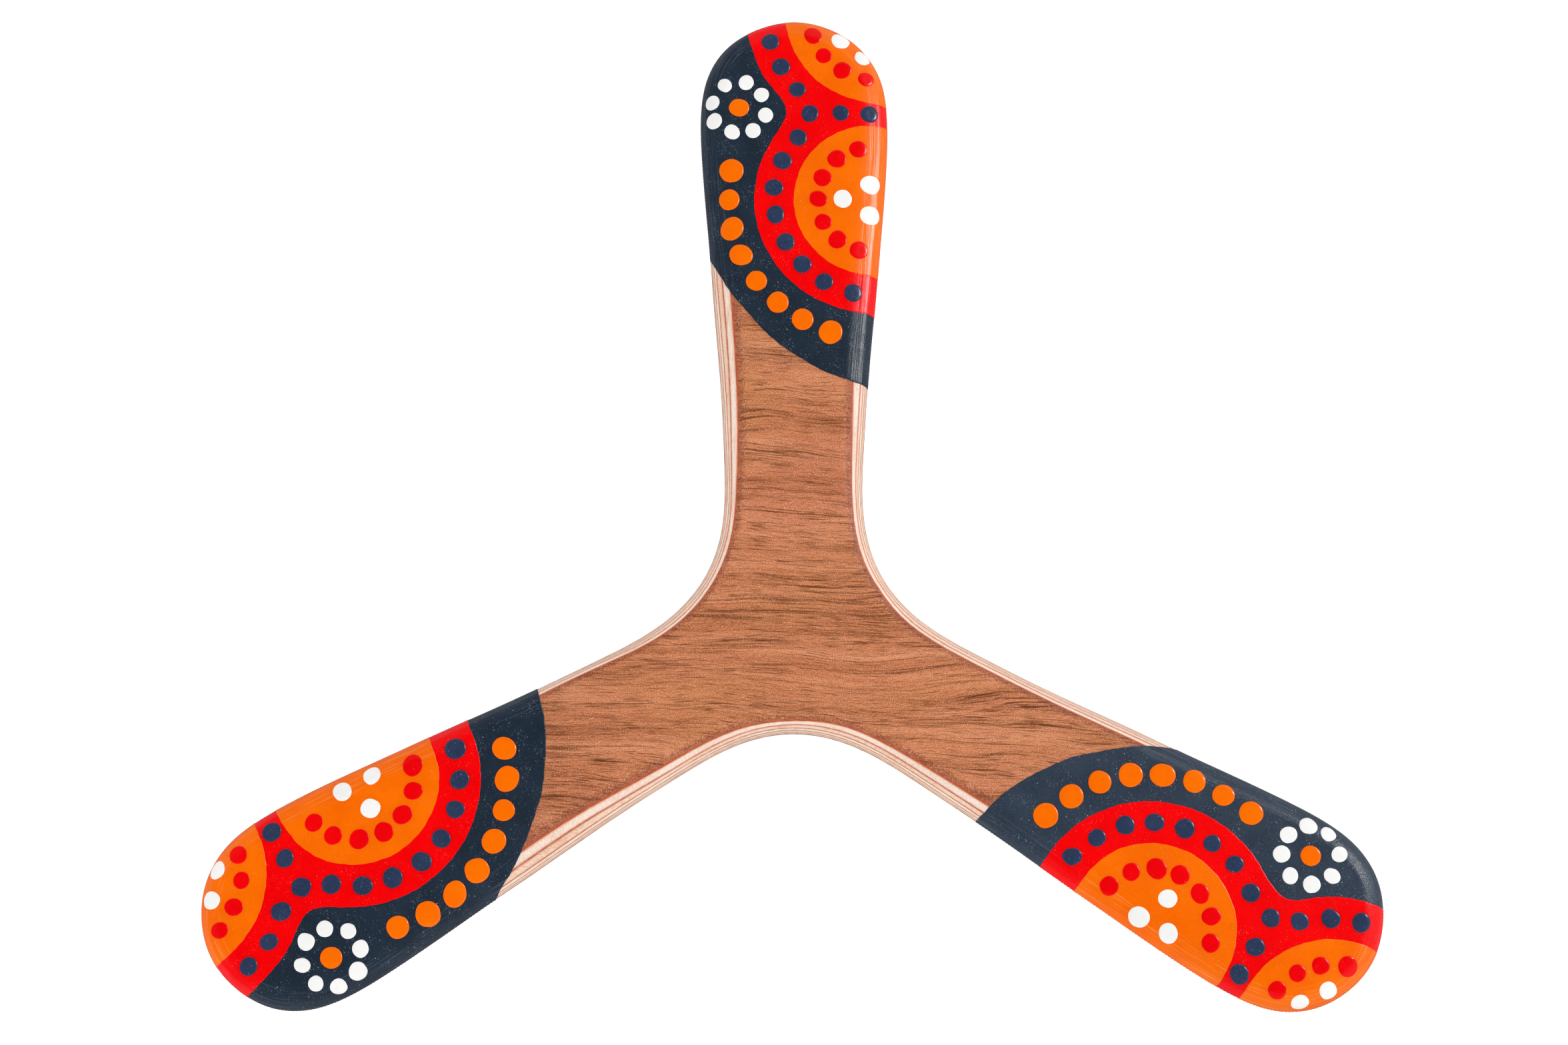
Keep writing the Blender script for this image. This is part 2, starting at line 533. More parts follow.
def build_coats(blade, mats):
    rng = np.random.default_rng(100 + blade)
    wood = border(WOOD_LINE[blade], blade, rng)
    red = border(RED_LINE[blade], blade, rng)
    big = border(BIG_ORANGE_LINE[blade], blade, rng)
    tip = border(TIP_ORANGE_LINE[blade], blade, rng)

    # closing polygons, far outside the blade
    def poly(line, extra):
        return np.vstack([line, spin(extra, blade)])

    far = {
        "painted": poly(wood, [(45, 50), (45, 185), (-45, 185), (-45, 105)]),
        "red": poly(red, [(45, 78), (45, 185), (-16, 185)]),
        "big": poly(big, [(45, 88), (45, 131)]),
        "tip": poly(tip, [(45, 131), (45, 185), (-6, 185)]),
    }
    # lattice: rings along the edge, plain hexagons on the face
    s0 = blade * THIRD / STEP
    n_third = N_ST // 3
    pts = []
    ring_t = np.concatenate([np.linspace(0, 0.62, 34), np.linspace(0.62, 1.0, 13)[1:]])
    for j, t in enumerate(ring_t):
        step_j = 0.85 if t < 0.62 else 0.95
        m = int(THIRD / step_j)
        s = s0 + (np.arange(m) + 0.5 * (j % 2)) / m * n_third
        p, n = station(s)
        low = low_at(s)
        pts.append(p + n * (low + t * (REF - low))[:, None])
    rings = np.vstack(pts)
    hx = 0.74
    gx, gy = np.meshgrid(np.arange(-24, 24, hx), np.arange(54, 162, hx * 0.866))
    gx = gx + (np.arange(gx.shape[0]) % 2)[:, None] * hx / 2
    hexes = spin(np.stack([gx.ravel(), gy.ravel()], 1), blade)
    _, hd = nearest(hexes)
    hexes = hexes[hd > REF + 0.45]
    free = np.vstack([rings, hexes])
    local = unspin(free, blade)
    keep = inside_polygon(free, far["painted"]) & (local[:, 1] > 40)
    dist_w = seg_dist(free, wood)
    keep &= dist_w > 0.30
    free = free[keep]
    lines = {"red": red, "big": big, "tip": tip}
    for name, line in lines.items():
        dist = seg_dist(free, line)
        free = free[dist > 0.62]

    # rows beside each border, where the coat rounds down, and the run-on row
    def rows(line, offsets):
        t = np.gradient(line, axis=0)
        t /= np.linalg.norm(t, axis=1)[:, None]
        nrm = np.stack([-t[:, 1], t[:, 0]], 1)
        return [line + nrm * o for o in offsets]

    extra = []
    for name, line in lines.items():
        left_is_in = inside_polygon(rows(line, [0.3])[0][len(line) // 2][None], far[name])[0]
        sign = 1 if left_is_in else -1
        for r in rows(line, [sign * 0.055, sign * 0.14, sign * 0.28, sign * UNDER, -sign * 0.35]):
            extra.append(r)
    left_is_in = inside_polygon(rows(wood, [0.3])[0][len(wood) // 2][None], far["painted"])[0]
    sign = 1 if left_is_in else -1
    for r in rows(wood, [sign * 0.05, sign * 0.15]):
        extra.append(r)
    extra = np.vstack(extra)
    es, ed = nearest(extra)
    extra = extra[(ed > low_at(es) + 0.06) & inside_polygon(extra, far["painted"])]

    # bottom edge, a little past both ends of the wood border
    m = int(THIRD / 0.6)
    s = s0 + np.arange(-4, m + 5) / m * n_third
    p, n = station(s)
    bottom = p + n * low_at(s)[:, None]

    verts, edges = [], []

    def chain(line):
        k = len(verts)
        verts.extend(line.tolist())
        edges.extend((k + i, k + i + 1) for i in range(len(line) - 1))

    for line in (wood, red, big, tip, bottom):
        chain(line)
    free_all = np.vstack([free, extra])
    fs, fd = nearest(free_all)
    free_all = free_all[fd > low_at(fs) + 0.04]
    verts.extend(free_all.tolist())
    co, _, faces, *_ = delaunay_2d_cdt([Vector(v) for v in verts], edges, [], 0, 1e-5, False)
    co = np.array([tuple(v) for v in co])
    faces = np.array([f for f in faces], int)
    mid = co[faces].mean(1)
    ms, md = nearest(mid)
    keep = (md > low_at(ms)) & inside_polygon(mid, far["painted"])
    # the far side of the blade: only triangles close to this blade's outline
    keep &= unspin(mid, blade)[:, 1] > 40
    faces, mid = faces[keep], mid[keep]
    a, b, c = (co[faces[:, i]] for i in range(3))
    area = 0.5 * ((b[:, 0] - a[:, 0]) * (c[:, 1] - a[:, 1]) - (b[:, 1] - a[:, 1]) * (c[:, 0] - a[:, 0]))
    faces[area < 0] = faces[area < 0][:, ::-1]
    ok = np.abs(area) > 1e-7
    faces, mid = faces[ok], mid[ok]

    zone = np.zeros(len(faces), int)                       # 0 dark
    in_red = inside_polygon(mid, far["red"])
    in_big = inside_polygon(mid, far["big"])
    in_tip = inside_polygon(mid, far["tip"])
    zone[in_red] = 1
    zone[in_red & (in_big | in_tip)] = 2
    d_red = seg_dist(mid, red)
    d_big = seg_dist(mid, big)
    d_tip = seg_dist(mid, tip)

    pos, nor, ss, dd = lift(co)
    run_on = coat_relief(ss, dd, pos[:, 2])
    vd_wood = seg_dist(co, wood)
    vd_red = seg_dist(co, red)
    vd_big = seg_dist(co, big)
    vd_tip = seg_dist(co, tip)
    v_in_red = inside_polygon(co, far["red"])
    v_in_big = inside_polygon(co, far["big"])
    v_in_tip = inside_polygon(co, far["tip"])

    def rounded(x, base, full):
        q = np.clip(x / ROUND_W, 0, 1)
        return base + (full - base) * np.sqrt(1 - (1 - q) ** 2)

    def sink(th, x):
        """The part of a lower coat that runs on under an upper one."""
        return th - 0.05 * np.clip(x / UNDER, 0, 1)

    # dark: full up to the red line, then sinks; rounds down at the wood line
    dark = rounded(vd_wood, 0.03, DARK_T)
    dark = np.where(v_in_red, sink(dark, vd_red), dark)
    redt = rounded(vd_red, 0.11, RED_T)
    redt = np.minimum(redt, rounded(vd_wood, 0.03, RED_T))
    under = np.where(v_in_big, vd_big, np.where(v_in_tip, vd_tip, 0))
    redt = sink(redt, under)
    ora = np.minimum(rounded(vd_big, 0.17, ORANGE_T), rounded(vd_tip, 0.17, ORANGE_T))
    sets = [
        ("dark", (zone == 0) | ((zone > 0) & (d_red < UNDER * 0.85)), dark, "dark_paint"),
        ("red", (zone == 1) | ((zone == 2) & (np.minimum(d_big, d_tip) < UNDER * 0.85)), redt, "red_paint"),
        ("orange", zone == 2, ora, "orange_paint"),
    ]
    made = []
    for name, pick, thick, slot in sets:
        f = faces[pick]
        used = np.unique(f)
        back = np.full(len(co), -1)
        back[used] = np.arange(len(used))
        f = back[f]
        nv = len(used)
        top = pos[used] + nor[used] * (thick[used] + run_on[used])[:, None]
        top[:, 2] = np.maximum(top[:, 2], 0.02)
        low = pos[used] - nor[used] * 0.03
        low[:, 2] = np.maximum(low[:, 2], 0.02)
        # outer boundary of the sheet, for its skirt
        e = np.vstack([f[:, [0, 1]], f[:, [1, 2]], f[:, [2, 0]]])
        keys = {}
        for x, y in e.tolist():
            keys[(x, y)] = keys.get((x, y), 0) + 1
        rim = [(x, y) for (x, y) in keys if (y, x) not in keys]
        vs = np.vstack([top, low])
        fs_ = [tuple(t) for t in f.tolist()]
        fs_ += [(t[0] + nv, t[2] + nv, t[1] + nv) for t in f.tolist()]
        fs_ += [(y, x, x + nv, y + nv) for x, y in rim]
        finish = "dusty" if name == "dark" and blade == 2 else name
        o = new_object(f"blade_{blade + 1}_{name}_coat", vs, fs_, mats[finish])
        att = np.zeros((2 * nv, 3))
        att[:nv, 0] = att[nv:, 0] = ss[used] * STEP
        att[:nv, 1] = att[nv:, 1] = dd[used]
        att[:nv, 2] = 1
        vector_attribute(o, "edge_place", att)
        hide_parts(f"blade_{blade + 1}_{name}_paint")
        made.append(o)
    return made, far


def level_at(q, far):
    """Thickness of the coat under points of the unrolled plane."""
    th = np.full(len(q), DARK_T)
    r = inside_polygon(q, far["red"])
    th[r] = RED_T
    th[r & (inside_polygon(q, far["big"]) | inside_polygon(q, far["tip"]))] = ORANGE_T
    return th


# ----------------------------------------------------------------- the dots
def row(spec):
    points, count, r0, r1 = spec
    if count == 1:
        return [(points[0][0], points[0][1], r0)]
    fine = catmull(points)
    p, _ = by_length(fine, count=count)
    return [(x, y, r0 + (r1 - r0) * (k / (count - 1)) ** 3) for k, (x, y) in enumerate(p)]


def catmull(points):
    p = np.asarray(points, float)
    p = np.vstack([2 * p[0] - p[1], p, 2 * p[-1] - p[-2]])
    out = []
    for i in range(1, len(p) - 2):
        f = (np.arange(80) / 80)[:, None]
        out.append(0.5 * (2 * p[i] + (p[i + 1] - p[i - 1]) * f
                          + (2 * p[i - 1] - 5 * p[i] + 4 * p[i + 1] - p[i + 2]) * f ** 2
                          + (3 * p[i] - p[i - 1] - 3 * p[i + 1] + p[i + 2]) * f ** 3))
    out.append(p[-2][None])
    return np.vstack(out)


def flower(spec):
    cx, cy, ra, rb, tilt = spec
    a = math.radians(tilt)
    out = []
    for k in range(PETALS):
        q = math.radians(360.0 / PETALS * k - 15.0)
        x, y = ra * math.cos(q), rb * math.sin(q)
        out.append((cx + x * math.cos(a) - y * math.sin(a), cy + x * math.sin(a) + y * math.cos(a), PETAL_R))
    return out


RINGS = np.array([0.0, 0.16, 0.32, 0.47, 0.60, 0.71, 0.80, 0.87, 0.925, 0.962, 0.985, 0.997, 1.0])
SIDES = 56


def build_dots(blade, name, dots, material, far, rng, height):
    verts, faces, att = [], [], []
    ang = np.arange(SIDES) / SIDES * 2 * math.pi
    for across, along, r in dots:
        c_plan = spin((across + rng.normal(0, 0.12), along + rng.normal(0, 0.12)), blade)[None]
        s, d = nearest(c_plan)
        c = unroll(c_plan)[0] if d[0] > 0.2 else c_plan[0]
        r = r * (1 + np.clip(rng.normal(0, 0.05), -0.09, 0.11))
        stretch = 1 + abs(rng.normal(0, 0.035))
        tilt = rng.uniform(0, math.pi)
        shape = np.ones(SIDES)
        for w, size in ((2, 0.012), (3, 0.012), (4, 0.008), (5, 0.006), (7, 0.004)):
            shape += rng.normal(0, size) * np.cos(w * ang + rng.uniform(0, 6.28))
        rx = np.cos(ang) * stretch
        ry = np.sin(ang) / stretch
        ex = rx * math.cos(tilt) - ry * math.sin(tilt)
        ey = rx * math.sin(tilt) + ry * math.cos(tilt)
        rim = np.stack([ex, ey], 1) * (shape * r)[:, None]
        h = height * rng.uniform(0.85, 1.12) * (r / 2.3) ** 0.35
        lean = rng.normal(0, 0.05, 2)
        base = level_at(c[None], far)[0]
        q = [c[None]]
        for t in RINGS[1:]:
            q.append(c + rim * t)
        q = np.vstack(q)
        pos, nor, ss, dd = lift(q)
        tt = np.concatenate([[0], np.repeat(RINGS[1:], SIDES)])
        # a flat-topped drop: slightly sunk middle, full shoulder, steep rim
        crown = (1 - tt ** 5.0) ** 0.46 * (1 - 0.08 * np.exp(-(tt / 0.45) ** 2))
        off = (q - c) / r
        crown = crown * (1 + off @ lean)
        grain = 0.010 * lattice_noise(q[:, 0] / 0.9 + 31, q[:, 1] / 0.9 + 17, 71) * (1 - tt ** 2)
        up = base + h * crown + grain
        up[-SIDES:] = base - 0.06
        # a dot that laps over the coat's rounding keeps its foot in the paint
        low_z = low_at(ss)
        over = dd < low_z + 0.05
        top = pos + nor * up[:, None]
        top[:, 2] = np.maximum(top[:, 2], 0.03)
        top[over, 2] = 0.03
        k = len(verts)
        verts.extend(top.tolist())
        foot_c = pos[0] + nor[0] * (base - 0.06)
        verts.append(foot_c.tolist())
        for i in range(SIDES):
            j = (i + 1) % SIDES
            faces.append((k, k + 1 + i, k + 1 + j))
            for g in range(len(RINGS) - 2):
                a0 = k + 1 + g * SIDES
                faces.append((a0 + i, a0 + SIDES + i, a0 + SIDES + j, a0 + j))
            last = k + 1 + (len(RINGS) - 2) * SIDES
            faces.append((k + len(top), last + j, last + i))
        a3 = np.stack([np.full(len(top) + 1, ss[0] * STEP), np.full(len(top) + 1, dd[0]),
                       np.append(tt, 1.0)], 1)
        att.extend(a3.tolist())
    o = new_object(f"blade_{blade + 1}_{name}_dot_paint", verts, faces, material)
    vector_attribute(o, "edge_place", att)
    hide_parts(f"blade_{blade + 1}_{name}_dots")
    return o


# ============================================================== materials
def srgb(r, g, b):
    out = []
    for v in (r, g, b):
        v = v / 255.0
        out.append(v / 12.92 if v <= 0.04045 else ((v + 0.055) / 1.055) ** 2.4)
    return (*out, 1.0)


class Nodes:
    """Short hand for a material's node tree."""

    def __init__(self, name):
        self.mat = bpy.data.materials.new(name)
        self.mat.use_nodes = True
        self.nt = self.mat.node_tree
        self.nt.nodes.clear()
        self.out = self.nt.nodes.new("ShaderNodeOutputMaterial")
        self.bsdf = self.nt.nodes.new("ShaderNodeBsdfPrincipled")
        self.nt.links.new(self.bsdf.outputs[0], self.out.inputs[0])

    def link(self, a, b):
        self.nt.links.new(a, b)

    def put(self, socket, value):
        if isinstance(value, bpy.types.NodeSocket):
            self.link(value, socket)
        else:
            socket.default_value = value

    def math(self, op, a, b=0.0, c=None, clamp=False):
        n = self.nt.nodes.new("ShaderNodeMath")
        n.operation = op
        n.use_clamp = clamp
        self.put(n.inputs[0], a)
        self.put(n.inputs[1], b)
        if c is not None:
            self.put(n.inputs[2], c)
        return n.outputs[0]

    def vmath(self, op, a, b=None, scale=None):
        n = self.nt.nodes.new("ShaderNodeVectorMath")
        n.operation = op
        self.put(n.inputs[0], a)
        if b is not None:
            self.put(n.inputs[1], b)
        if scale is not None:
            self.put(n.inputs[3], scale)
        return n.outputs[0]

    def place(self):
        """Object coordinates in millimetres."""
        n = self.nt.nodes.new("ShaderNodeTexCoord")
        return self.vmath("MULTIPLY", n.outputs["Object"], (1000.0, 1000.0, 1000.0))

    def attribute(self, name):
        n = self.nt.nodes.new("ShaderNodeAttribute")
        n.attribute_name = name
        return n.outputs["Vector"]

    def split(self, v):
        n = self.nt.nodes.new("ShaderNodeSeparateXYZ")
        self.link(v, n.inputs[0])
        return n.outputs[0], n.outputs[1], n.outputs[2]

    def join(self, x, y, z):
        n = self.nt.nodes.new("ShaderNodeCombineXYZ")
        self.put(n.inputs[0], x)
        self.put(n.inputs[1], y)
        self.put(n.inputs[2], z)
        return n.outputs[0]

    def stretch(self, v, sx, sy, sz, shift=(0.0, 0.0, 0.0)):
        """Divides each axis by a feature size in mm."""
        n = self.nt.nodes.new("ShaderNodeMapping")
        self.link(v, n.inputs["Vector"])
        n.inputs["Scale"].default_value = (1 / sx, 1 / sy, 1 / sz)
        n.inputs["Location"].default_value = shift
        return n.outputs[0]

    def noise(self, v, detail=2.0, rough=0.5, distortion=0.0, scale=1.0):
        n = self.nt.nodes.new("ShaderNodeTexNoise")
        self.link(v, n.inputs["Vector"])
        n.inputs["Scale"].default_value = scale
        n.inputs["Detail"].default_value = detail
        n.inputs["Roughness"].default_value = rough
        n.inputs["Distortion"].default_value = distortion
        return n.outputs["Fac"]

    def voronoi(self, v, feature="F1", randomness=1.0, out="Distance"):
        n = self.nt.nodes.new("ShaderNodeTexVoronoi")
        n.feature = feature
        self.link(v, n.inputs["Vector"])
        n.inputs["Scale"].default_value = 1.0
        n.inputs["Randomness"].default_value = randomness
        return n.outputs[out]

    def smooth(self, x, a, b, lo=0.0, hi=1.0):
        n = self.nt.nodes.new("ShaderNodeMapRange")
        n.interpolation_type = "SMOOTHSTEP"
        self.put(n.inputs["Value"], x)
        n.inputs["From Min"].default_value = a
        n.inputs["From Max"].default_value = b
        n.inputs["To Min"].default_value = lo
        n.inputs["To Max"].default_value = hi
        return n.outputs["Result"]

    def ramp(self, fac, stops):
        n = self.nt.nodes.new("ShaderNodeValToRGB")
        self.put(n.inputs[0], fac)
        el = n.color_ramp.elements
        while len(el) < len(stops):
            el.new(0.5)
        for e, (p, c) in zip(el, stops):
            e.position = p
            e.color = c
        return n.outputs[0]

    def mix(self, fac, a, b, mode="MIX"):
        n = self.nt.nodes.new("ShaderNodeMix")
        n.data_type = "RGBA"
        n.blend_type = mode
        n.clamp_factor = True
        self.put(n.inputs[0], fac)
        self.put(n.inputs[6], a)
        self.put(n.inputs[7], b)
        return n.outputs[2]

    def bump(self, height, distance, strength=1.0, normal=None):
        n = self.nt.nodes.new("ShaderNodeBump")
        n.inputs["Strength"].default_value = strength
        n.inputs["Distance"].default_value = distance * MM
        self.link(height, n.inputs["Height"])
        if normal is not None:
            self.link(normal, n.inputs["Normal"])
        return n.outputs[0]

    def finish(self, **values):
        for k, v in values.items():
            self.put(self.bsdf.inputs[k.replace("_", " ")], v)
        return self.mat


def face_veneer(name, seed, red_rim=True):
    """Walnut-brown veneer, grain along X, under a satin lacquer."""
    n = Nodes(name)
    p = n.place()
    x, y, z = n.split(p)
    # slow waviness of the grain
    wave = n.noise(n.stretch(p, 75, 26, 60, (seed, 0, 0)), 2.0, 0.5)
    wave = n.math("MULTIPLY", n.math("SUBTRACT", wave, 0.5), 11.0)
    ripple = n.noise(n.stretch(p, 11, 5, 60, (seed, 4, 0)), 1.0, 0.5)
    ripple = n.math("MULTIPLY", n.math("SUBTRACT", ripple, 0.5), 0.9)
    yy = n.math("ADD", n.math("ADD", y, wave), n.math("ADD", ripple, n.math("MULTIPLY", x, 0.045)))
    g = n.join(x, yy, n.math("MULTIPLY", z, 0.2))
    broad = n.noise(n.stretch(g, 150, 8.5, 20, (seed, 2.3, 0)), 3.0, 0.60)
    mid = n.noise(n.stretch(g, 42, 1.7, 20, (seed, 9.1, 0)), 3.0, 0.62)
    fine = n.noise(n.stretch(g, 6.5, 0.36, 20, (seed, 5.7, 0)), 3.0, 0.68)
    tone = n.math("ADD", n.math("MULTIPLY", broad, 0.46), n.math("MULTIPLY", mid, 0.32))
    tone = n.math("ADD", tone, n.math("MULTIPLY", fine, 0.22))
    col = n.ramp(tone, [
        (0.37, srgb(168, 96, 54)), (0.45, srgb(195, 117, 75)), (0.51, srgb(211, 132, 89)),
        (0.57, srgb(221, 144, 102)), (0.65, srgb(234, 158, 119))])
    # the sheet is a little darker towards its left end
    px, py, pz = n.split(p)
    col = n.mix(n.smooth(px, -25, -85, 0.0, 0.26), col, srgb(132, 74, 44))
    # slow drift from yellow-brown to red-brown
    drift = n.noise(n.stretch(p, 46, 24, 30, (seed, 61, 0)), 2.0, 0.5)
    col = n.mix(n.smooth(drift, 0.52, 0.68, 0.0, 0.40), col, srgb(204, 132, 74))
    col = n.mix(n.smooth(drift, 0.48, 0.32, 0.0, 0.35), col, srgb(190, 104, 74))
    # growth-ring streaks: thin, long, plum-brown
    ring = n.noise(n.stretch(g, 230, 4.2, 30, (seed, 14.2, 0)), 3.0, 0.60)
    streak = n.smooth(n.math("ABSOLUTE", n.math("SUBTRACT", ring, 0.50)), 0.0, 0.022, 1.0, 0.0)
    where = n.smooth(n.noise(n.stretch(g, 70, 9, 20, (seed, 31, 0)), 2.0, 0.5), 0.44, 0.58)
    streak = n.math("MULTIPLY", streak, where)
    col = n.mix(n.math("MULTIPLY", streak, 0.88), col, srgb(118, 60, 26))
    # pores: short dark dashes, crowded in some bands
    band = n.noise(n.stretch(g, 95, 4.6, 20, (seed, 27, 0)), 2.0, 0.55)
    crowd = n.math("ADD", n.smooth(band, 0.40, 0.62), n.math("MULTIPLY", streak, 0.5))
    dash = n.noise(n.stretch(g, 6.0, 0.16, 20, (seed, 21, 0)), 1.0, 0.5)
    pore = n.smooth(n.math("ADD", dash, n.math("MULTIPLY", crowd, 0.085)), 0.645, 0.685)
    dash2 = n.noise(n.stretch(g, 13.0, 0.25, 20, (seed, 44, 3)), 1.0, 0.5)
    pore2 = n.smooth(n.math("ADD", dash2, n.math("MULTIPLY", crowd, 0.075)), 0.69, 0.725)
    pores = n.math("MAXIMUM", n.math("MULTIPLY", pore, 0.72), n.math("MULTIPLY", pore2, 0.90))
    # fibre ends: a fine lively grain, a little longer along X
    hair = n.noise(n.stretch(g, 1.3, 0.17, 20, (seed, 1.7, 0)), 2.0, 0.7)
    grit = n.noise(n.stretch(p, 0.27, 0.33, 0.4, (seed, 3, 7)), 2.0, 0.8)
    col = n.mix(n.smooth(hair, 0.50, 0.32, 0.0, 0.42), col, srgb(118, 60, 22))
    col = n.mix(n.smooth(hair, 0.52, 0.70, 0.0, 0.36), col, srgb(238, 172, 138))
    col = n.mix(n.smooth(grit, 0.50, 0.28, 0.0, 0.66), col, srgb(118, 58, 16))
    col = n.mix(n.smooth(grit, 0.52, 0.70, 0.0, 0.60), col, srgb(255, 204, 172))
    col = n.mix(pores, col, srgb(94, 45, 16))
    if red_rim:
        # sanded thin above the glue line: redder, speckled dark and pale
        jag = n.math("MULTIPLY", n.math("SUBTRACT", n.noise(n.stretch(p, 0.6, 0.6, 4), 3.0, 0.7), 0.5), 0.34)
        zz = n.math("ADD", z, jag)
        rim = n.smooth(zz, 4.76, 4.52)
        col = n.mix(n.math("MULTIPLY", rim, 0.40), col, srgb(158, 80, 58))
        plum = n.math("MULTIPLY", rim, n.smooth(grit, 0.52, 0.40))
        col = n.mix(n.math("MULTIPLY", plum, 0.55), col, srgb(104, 56, 50))
        spark = n.math("MULTIPLY", rim, n.smooth(grit, 0.62, 0.72))
        col = n.mix(n.math("MULTIPLY", spark, 0.55), col, srgb(250, 214, 192))
        col = n.mix(n.smooth(zz, 4.36, 4.26, 0.0, 0.80), col, srgb(190, 92, 56))
    height = n.math("SUBTRACT", n.math("ADD", n.math("MULTIPLY", hair, 0.4), n.math("MULTIPLY", grit, 0.5)), n.math("MULTIPLY", pores, 1.0))
    rough = n.math("ADD", 0.42, n.math("MULTIPLY", pores, 0.25))
    return n.finish(Base_Color=col, Roughness=rough, Specular_IOR_Level=0.30,
                    Normal=n.bump(height, 0.045, 0.9))


def edge_ply(name, seed, along_x, light, dark, line, hairs, z0, stain_top, stain_low):
    """One core ply where the sanded edge cuts it: pale birch with fibres,
    stained by the glue along both of its faces."""
    n = Nodes(name)
    p = n.place()
    x, y, z = n.split(p)
    sx, sy = (9.0, 0.34) if along_x else (0.34, 9.0)
    fib = n.noise(n.stretch(p, sx, sy, 0.22, (seed, seed, 0)), 3.0, 0.62)
    sx, sy = (1.5, 0.16) if along_x else (0.16, 1.5)
    hair = n.noise(n.stretch(p, sx, sy, 0.10, (seed, 3 + seed, 0)), 2.0, 0.65)
    blotch = n.noise(n.stretch(p, 12, 12, 3, (seed, 8, 0)), 2.0, 0.5)
    tone = n.math("ADD", n.math("MULTIPLY", fib, 0.65), n.math("MULTIPLY", blotch, 0.35))
    col = n.ramp(tone, [(0.36, dark), (0.49, n_mix(dark, light, 0.65)), (0.60, light)])
    col = n.mix(n.smooth(hair, 0.56, 0.70, 0.0, hairs), col, line)
    col = n.mix(n.smooth(hair, 0.44, 0.30, 0.0, 0.40), col, srgb(255, 238, 224))
    # glue soaked into the faces of the ply
    jag = n.math("MULTIPLY", n.math("SUBTRACT", n.noise(n.stretch(p, 0.8, 0.8, 2, (seed, 1, 1)), 3.0, 0.7), 0.5), 0.16)
    zz = n.math("ADD", z, jag)
    col = n.mix(n.smooth(zz, z0 + PLY_T - 0.17, z0 + PLY_T - 0.01, 0.0, 0.80), col, stain_top)
    col = n.mix(n.smooth(zz, z0 + 0.13, z0 + 0.01, 0.0, 0.75), col, stain_low)
    height = n.math("ADD", n.math("MULTIPLY", fib, 0.6), n.math("MULTIPLY", hair, 0.6))
    return n.finish(Base_Color=col, Roughness=0.55, Specular_IOR_Level=0.3,
                    Normal=n.bump(height, 0.05, 0.8))


def n_mix(a, b, f):
    return tuple(a[i] * (1 - f) + b[i] * f for i in range(3)) + (1.0,)


def glue(name, seed, core, edge, broken):
    """Phenolic glue line, soaked unevenly into the wood beside it."""
    n = Nodes(name)
    p = n.place()
    a = n.noise(n.stretch(p, 2.2, 2.2, 0.5, (seed, 0, 0)), 3.0, 0.6)
    b = n.noise(n.stretch(p, 0.35, 0.35, 0.2, (seed, 5, 0)), 2.0, 0.6)
    tone = n.math("ADD", n.math("MULTIPLY", a, 0.6), n.math("MULTIPLY", b, 0.4))
    col = n.mix(n.smooth(tone, 0.44, 0.44 + broken), core, edge)
    return n.finish(Base_Color=col, Roughness=0.5, Specular_IOR_Level=0.4,
                    Normal=n.bump(b, 0.03, 0.6))


def paint(name, base, deep, speck_colour, speck, rough, edge_tint, streaks, grit):
    """Brushed gloss paint: thin and thick places, brush lines, dust nibs."""
    n = Nodes(name)
    p = n.place()
    place = n.attribute("edge_place")
    run, inset, k = n.split(place)
    cloud = n.noise(n.stretch(p, 7.5, 7.5, 7.5, (3.1, 0, 0)), 3.0, 0.55)
    fine = n.noise(n.stretch(p, 0.55, 0.55, 0.55, (0, 2.2, 0)), 3.0, 0.6)
    f = n.math("ADD", n.math("MULTIPLY", cloud, 0.65), n.math("MULTIPLY", fine, 0.35))
    col = n.mix(n.smooth(f, 0.34, 0.66), deep, base)
    # dust nibs: pale specks of several sizes, in drifts
    patch = n.noise(n.stretch(p, 4.5, 4.5, 4.5, (2, 2, 2)), 3.0, 0.6)
    nib = None
    for cell, lo, hi, weight, shift in ((1.5, 0.045, 0.085, 1.0, 7.0), (0.62, 0.05, 0.15, 0.62, 1.0), (0.36, 0.07, 0.20, 0.36, 4.0)):
        v = n.voronoi(n.stretch(p, cell, cell, cell, (shift, 3, 0)))
        size = n.smooth(patch, 0.36, 0.66, lo, hi)
        one = n.math("MULTIPLY", n.math("LESS_THAN", v, size), weight)
        nib = one if nib is None else n.math("MAXIMUM", nib, one)
    col = n.mix(n.math("MULTIPLY", nib, speck), col, speck_colour)
    # brush and sanding lines where the coat goes over the edge
    e = n.join(n.math("MULTIPLY", run, 1 / 16.0), n.math("MULTIPLY", inset, 1 / 0.34), 0.0)
    lines = n.noise(e, 2.0, 0.6)
    near = n.smooth(inset, 6.3, 4.2)
    lined = n.math("MULTIPLY", lines, near)
    col = n.mix(n.math("MULTIPLY", n.math("MULTIPLY", n.smooth(lines, 0.54, 0.68), near), streaks), col, edge_tint)
    peel = n.noise(n.stretch(p, 1.8, 1.8, 1.8, (5, 1, 0)), 2.0, 0.5)
    sand = n.noise(n.stretch(p, 0.24, 0.24, 0.24, (9, 9, 0)), 2.0, 0.6)
    h = n.math("ADD", n.math("MULTIPLY", peel, 0.6), n.math("MULTIPLY", nib, 0.5))
    h = n.math("ADD", h, n.math("MULTIPLY", lined, 1.8))
    h = n.math("ADD", h, n.math("MULTIPLY", sand, grit))
    r = n.math("ADD", rough, n.math("MULTIPLY", fine, 0.10))
    return n.finish(Base_Color=col, Roughness=r, Specular_IOR_Level=0.5,
                    Normal=n.bump(h, 0.045, 0.8))


